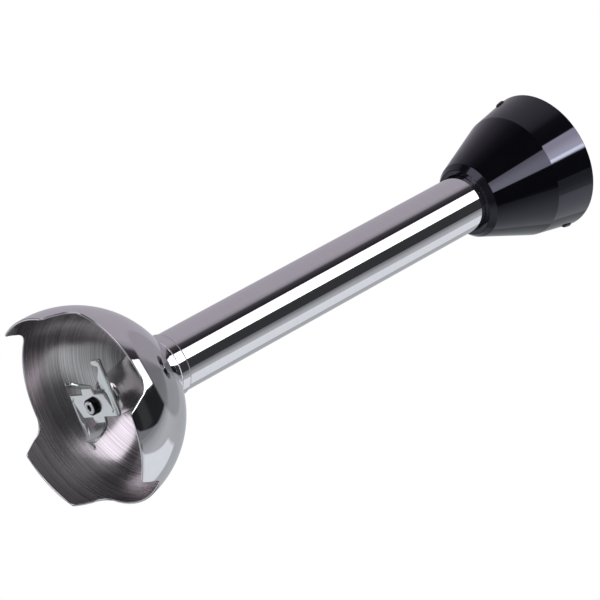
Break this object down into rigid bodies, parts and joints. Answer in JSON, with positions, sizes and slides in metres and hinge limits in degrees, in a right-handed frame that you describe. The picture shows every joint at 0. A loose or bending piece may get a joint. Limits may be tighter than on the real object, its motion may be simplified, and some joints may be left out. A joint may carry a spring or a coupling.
{
  "type": "immersion blender blending foot",
  "caption": "Detachable stick blender foot: steel tube, domed bell with three feet, spinning four-wing blade and a black conical coupling with a drive dog.",
  "frame": {"origin": "on the tube's axis, in the plane of the three feet", "axes": "+Z along the tube, from the bell to the coupling cone; +X through one of the two index nubs"},
  "size_m": [0.0706, 0.0708, 0.2294],
  "materials": {
    "polished_steel": "mirror polished stainless",
    "brushed_steel": "spun stainless",
    "blade_steel": "stamped and ground stainless",
    "ground_steel": "ground steel",
    "blackened_steel": "black oxide steel",
    "spring_steel": "zinc plated spring steel",
    "sintered_bronze": "oiled sintered bronze",
    "gloss_black": "gloss moulded",
    "black_moulding": "satin moulded",
    "dog_nylon": "glass filled nylon",
    "natural_nylon": "natural nylon",
    "black_rubber": "matt"
  },
  "bodies": {
    "foot": {"bell_guard": "polished_steel", "neck_collar": "polished_steel", "shaft_tube": "polished_steel", "bearing_housing": "brushed_steel", "housing_o_ring": "black_rubber", "shaft_seal": "black_rubber", "seal_washer": "brushed_steel", "lower_bush": "sintered_bronze", "bush_clip": "spring_steel", "steady_bush": "natural_nylon", "upper_carrier": "black_moulding", "carrier_o_ring": "black_rubber", "upper_bush": "sintered_bronze", "coupling_cone": "gloss_black", "lip_o_ring": "black_rubber", "coupling_socket": "black_moulding", "socket_gasket": "black_rubber", "socket_screws": "spring_steel"},
    "rotor": {"drive_shaft": "ground_steel", "blade": "blade_steel", "blade_collar": "blackened_steel", "blade_hub": "ground_steel", "lower_thrust_washer": "natural_nylon", "lower_shaft_clip": "spring_steel", "upper_thrust_washer": "natural_nylon", "drive_coupling": "dog_nylon", "coupling_pin": "ground_steel"}
  },
  "joints": [
    {"name": "blade_spin", "type": "hinge", "parent": "foot", "child": "rotor", "pos_m": [0, 0, 0], "axis": [0, 0, 1], "continuous": true}
  ]
}
